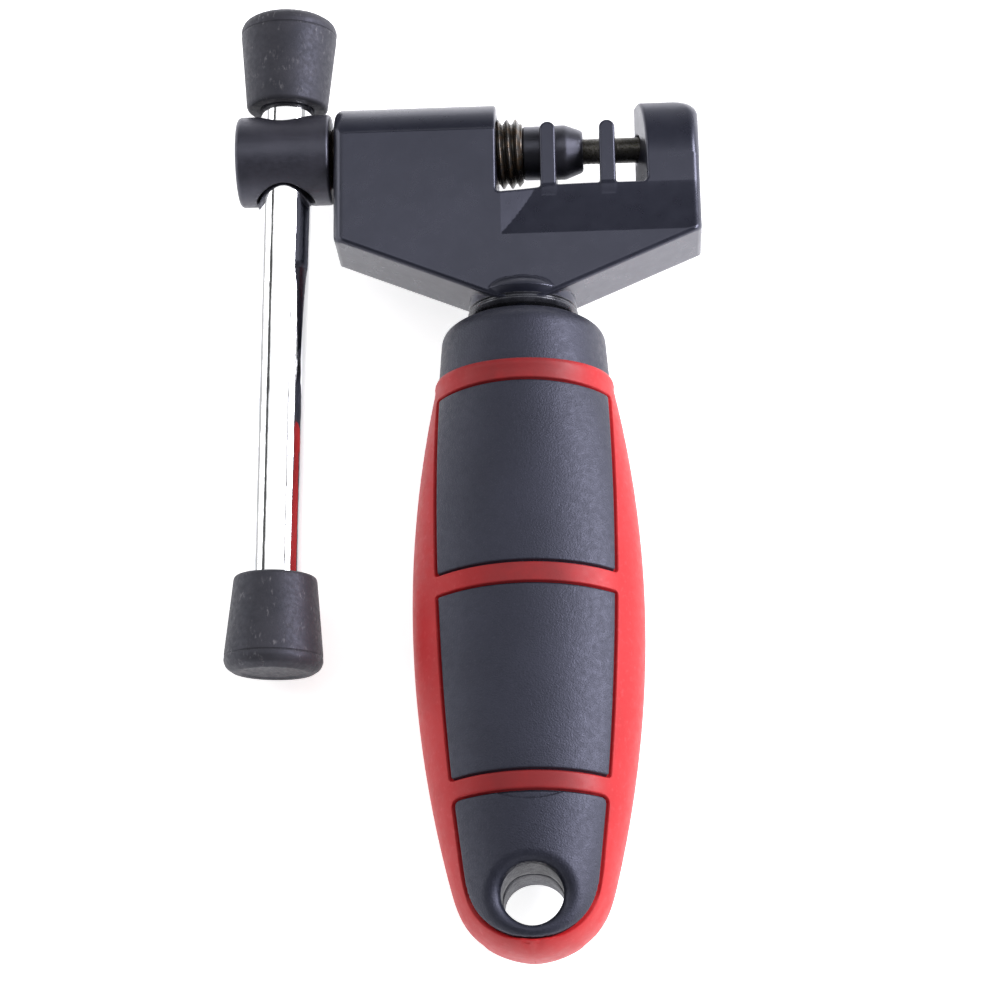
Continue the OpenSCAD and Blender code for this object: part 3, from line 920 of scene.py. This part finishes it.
def thread_shell():
    """The screw's thread as one right-handed helix, cut back at its two ends."""
    sides = 96
    places = np.arange(-HUB_RIGHT - 0.2, THREAD_END, THREAD_PITCH / 14)
    turns = 2 * math.pi * np.arange(sides) / sides
    x, a = np.meshgrid(places, turns, indexing="ij")
    phase = np.mod(x / THREAD_PITCH - a / (2 * math.pi), 1)
    fall = clamp01((np.abs(phase - 0.5) * 2 - 0.16) / 0.66)
    radius = THREAD_R - (THREAD_R - THREAD_ROOT_R) * fall
    end_cut = THREAD_ROOT_R - 0.15 + 1.1 * (THREAD_END - x)
    start_cut = THREAD_ROOT_R - 0.2 + 1.1 * (x + HUB_RIGHT)
    radius = np.minimum(radius, np.minimum(end_cut, start_cut))
    shell = np.stack([x, radius * np.cos(a), radius * np.sin(a)], axis=-1).reshape(-1, 3)
    caps = []
    for place, radii in ((places[0], (2.0, 0.02)), (THREAD_END, (4.0, 2.55))):
        for r in radii:
            caps.append(np.stack([np.full(turns.shape, place), r * np.cos(turns),
                                  r * np.sin(turns)], axis=-1))
    rings = [caps[1], caps[0], shell, caps[2], caps[3]]
    points = np.concatenate(rings)
    return points, grid_faces(len(points) // sides, sides, closed=True)


def make_screw():
    steel = black_oxide("hub_oxide")
    low = (-HUB_LEFT - 0.3, -HUB_R - 0.3, -HUB_R - 0.3)
    high = (-HUB_RIGHT + 0.3, HUB_R + 0.3, HUB_R + 0.3)
    points, faces, normals = surface_of(hub_field, low, high, 0.16)
    make_piece("screw_hub", points, faces, "spindle", "main_screw", steel, normals)
    points, faces = thread_shell()
    make_piece("screw_thread", points, faces, "spindle", "main_screw",
               greased_steel())
    low, high = HOLDER_LOW[0], HOLDER_HIGH[0]
    outline = round_outline([
        (low, 2.65), (low, 3.7), (low + 0.25, 3.82), (high - 3.1, HOLDER_HIGH[1] - 0.01),
        (high - 2.5, HOLDER_HIGH[1] - 0.02), (high - 0.35, 3.05), (high, 2.75),
        (high, PIN_R + 0.12), (high - 1.2, PIN_R + 0.06), (high - 1.6, PIN_R + 0.06)], 0.3, 5)
    points, faces = lathe(stretch(outline, 0.5))
    make_piece("pin_holder_nose", points, faces, "spindle", "pin_holder",
               black_oxide("nose_oxide", (0.021, 0.021, 0.025), (0.012, 0.012, 0.014), 0.36))


def make_pin():
    """The push pin: smooth at its tip, and rough where it comes out of the holder."""
    tip, smooth_from = PIN_HIGH[0], 14.6
    outline = round_outline([
        (PIN_LOW[0], 0.01), (PIN_LOW[0], 2.65), (PIN_LOW[0] + 1.6, 2.65),
        (PIN_LOW[0] + 1.7, PIN_R), (tip - 0.3, PIN_R), (tip, PIN_R - 0.3), (tip, 0.01)], 0.08, 3)
    points, faces = lathe(stretch(outline, 0.12), 64)
    a = np.arctan2(points[:, 2], points[:, 1])
    x = points[:, 0]
    rough = clamp01((smooth_from - x) / 0.8) * clamp01((x - HOLDER_HIGH[0] - 0.1) / 0.3)
    waves = (np.sin(5.3 * x + 3 * a) * np.sin(3.1 * x - 5 * a) + np.sin(11 * x + 2 * a)
             * np.cos(7 * a + x))
    points[:, 1:] *= (1 - 0.012 * rough * (1 + waves))[:, None]
    make_piece("pin_shaft", points, faces, "drive_pin", "push_pin", oiled_pin())


# --- T-bar ---------------------------------------------------------------------------------

BAR_PLACE = (Matrix.Translation((HUB_X, 0, 0)) @ Matrix.Rotation(BAR_DROP, 4, "X")
             @ Matrix.Rotation(-BAR_LEAN, 4, "Z"))


def on_bar(points, mouth, up):
    """Turned points (place from the mouth, y, z) laid along the bar."""
    along = np.where(up, mouth + points[:, 0], -mouth - points[:, 0])
    turned = np.stack([points[:, 1] * (1 if up else -1), along, points[:, 2]], axis=-1)
    rotation = np.array(BAR_PLACE.to_3x3())
    return turned @ rotation.T + np.array(BAR_PLACE.translation)


def make_bar():
    """The rod, which goes some way into both caps, and the caps."""
    inside = CAP_LENGTH - 1.6
    reach = UPPER_MOUTH + LOWER_MOUTH + 2 * inside
    outline = round_outline([(0, 0.01), (0, ROD_R - 0.5), (0.5, ROD_R), (reach - 0.5, ROD_R),
                             (reach, ROD_R - 0.5), (reach, 0.01)], 0.4, 4)
    points, faces = lathe(stretch(outline, 1.5), 96)
    make_piece("bar_rod", on_bar(points, -UPPER_MOUTH - inside, False),
               faces, "t_bar", "t_bar_rod", bright_chrome())
    rubber = cap_rubber()
    # A shallow ring runs round the cap near its closed end
    ring = CAP_LENGTH - 2.35
    outline = round_outline([
        (1.2, ROD_R + 0.02), (0.25, ROD_R + 0.02), (0, ROD_R + 0.3), (0, CAP_MOUTH_R - 0.35),
        (0.35, CAP_MOUTH_R), (ring - 0.35, CAP_WIDE_R - 0.05), (ring - 0.12, CAP_WIDE_R - 0.05),
        (ring, CAP_WIDE_R - 0.17), (ring + 0.12, CAP_WIDE_R - 0.05),
        (ring + 0.7, CAP_WIDE_R), (CAP_LENGTH - 0.75, CAP_WIDE_R - 0.35),
        (CAP_LENGTH, CAP_WIDE_R - 1.5), (CAP_LENGTH - 0.05, 4.6), (CAP_LENGTH - 0.25, 4.2),
        (CAP_LENGTH - 0.3, 0.01)], 0.7, 5)
    for name, node, mouth, up in (("bar_cap_upper", "upper_bar_cap", UPPER_MOUTH, True),
                                  ("bar_cap_lower", "lower_bar_cap", LOWER_MOUTH, False)):
        points, faces = lathe(stretch(outline, 0.8), 96)
        make_piece(name, on_bar(points, mouth, up), faces, "t_bar", node, rubber)


# --- floor, light and camera -----------------------------------------------------------------


def make_floor():
    size = 2.5
    mesh = bpy.data.meshes.new("floor")
    corners = [(-size, -size, 0), (size, -size, 0), (size, size, 0), (-size, size, 0)]
    mesh.from_pydata(corners, [], [(0, 1, 2, 3)])
    mesh.materials.append(floor_paper())
    floor = bpy.data.objects.new("floor", mesh)
    bpy.context.scene.collection.objects.link(floor)


def softbox(name, place, size, power, colour=(1, 1, 1)):
    """A rectangular lamp that points at the object."""
    light = bpy.data.lights.new(name, "AREA")
    light.shape = "RECTANGLE"
    light.size, light.size_y = size
    light.energy = power
    light.color = colour
    lamp = bpy.data.objects.new(name, light)
    lamp.location = place
    lamp.rotation_mode = "QUATERNION"
    lamp.rotation_quaternion = (-Vector(place)).to_track_quat("-Z", "Y")
    bpy.context.scene.collection.objects.link(lamp)


def make_light():
    """A sky that is bright at the horizon and dim above, with three softboxes."""
    world = bpy.data.worlds.new("studio")
    bpy.context.scene.world = world
    world.use_nodes = True
    tree = world.node_tree
    place = tree.nodes.new("ShaderNodeTexCoord")
    split = tree.nodes.new("ShaderNodeSeparateXYZ")
    ramp = tree.nodes.new("ShaderNodeMapRange")
    for key, v in (("From Min", 0.2), ("From Max", 0.55), ("To Min", 0.7), ("To Max", 0.1)):
        ramp.inputs[key].default_value = v
    tree.links.new(place.outputs["Generated"], split.inputs[0])
    tree.links.new(split.outputs["Z"], ramp.inputs["Value"])
    tree.links.new(ramp.outputs["Result"], tree.nodes["Background"].inputs["Strength"])
    tree.nodes["Background"].inputs["Color"].default_value = (1, 1, 1, 1)
    softbox("right_box", (0.76, 0.12, 0.5), (0.9, 0.36), 14, (0.94, 0.93, 1.0))
    softbox("left_box", (-0.8, 0.15, 0.36), (0.9, 0.34), 2.2)
    softbox("top_box", (0.0, 0.26, 0.95), (1.7, 0.5), 3.5)


def make_camera():
    """The photograph's camera, as fitted to the tool: a long lens, from below the front face."""
    yaw, pitch, roll = (math.radians(a) for a in (-2.396, 17.047, -0.931))
    place_in_tool = np.array((12.925, -172.899, 394.991))
    back = Vector((-math.sin(yaw) * math.cos(pitch), -math.sin(pitch),
                   math.cos(yaw) * math.cos(pitch)))
    level = Vector((math.cos(yaw), 0, math.sin(yaw)))
    over = back.cross(level)
    right = math.cos(roll) * level + math.sin(roll) * over
    up = math.cos(roll) * over - math.sin(roll) * level
    data = bpy.data.cameras.new("camera")
    data.lens = 107.9
    data.sensor_width = 36
    data.clip_start, data.clip_end = 0.01, 20
    camera = bpy.data.objects.new("camera", data)
    camera.matrix_world = Matrix((
        (right.x, up.x, back.x, 0), (right.y, up.y, back.y, 0), (right.z, up.z, back.z, 0),
        (0, 0, 0, 1)))
    camera.location = Vector(ORIGIN + MM * place_in_tool)
    bpy.context.scene.collection.objects.link(camera)
    bpy.context.scene.camera = camera


bpy.context.scene.view_settings.view_transform = "Standard"
make_head()
make_handle()
make_screw()
make_pin()
make_bar()
make_floor()
make_light()
make_camera()
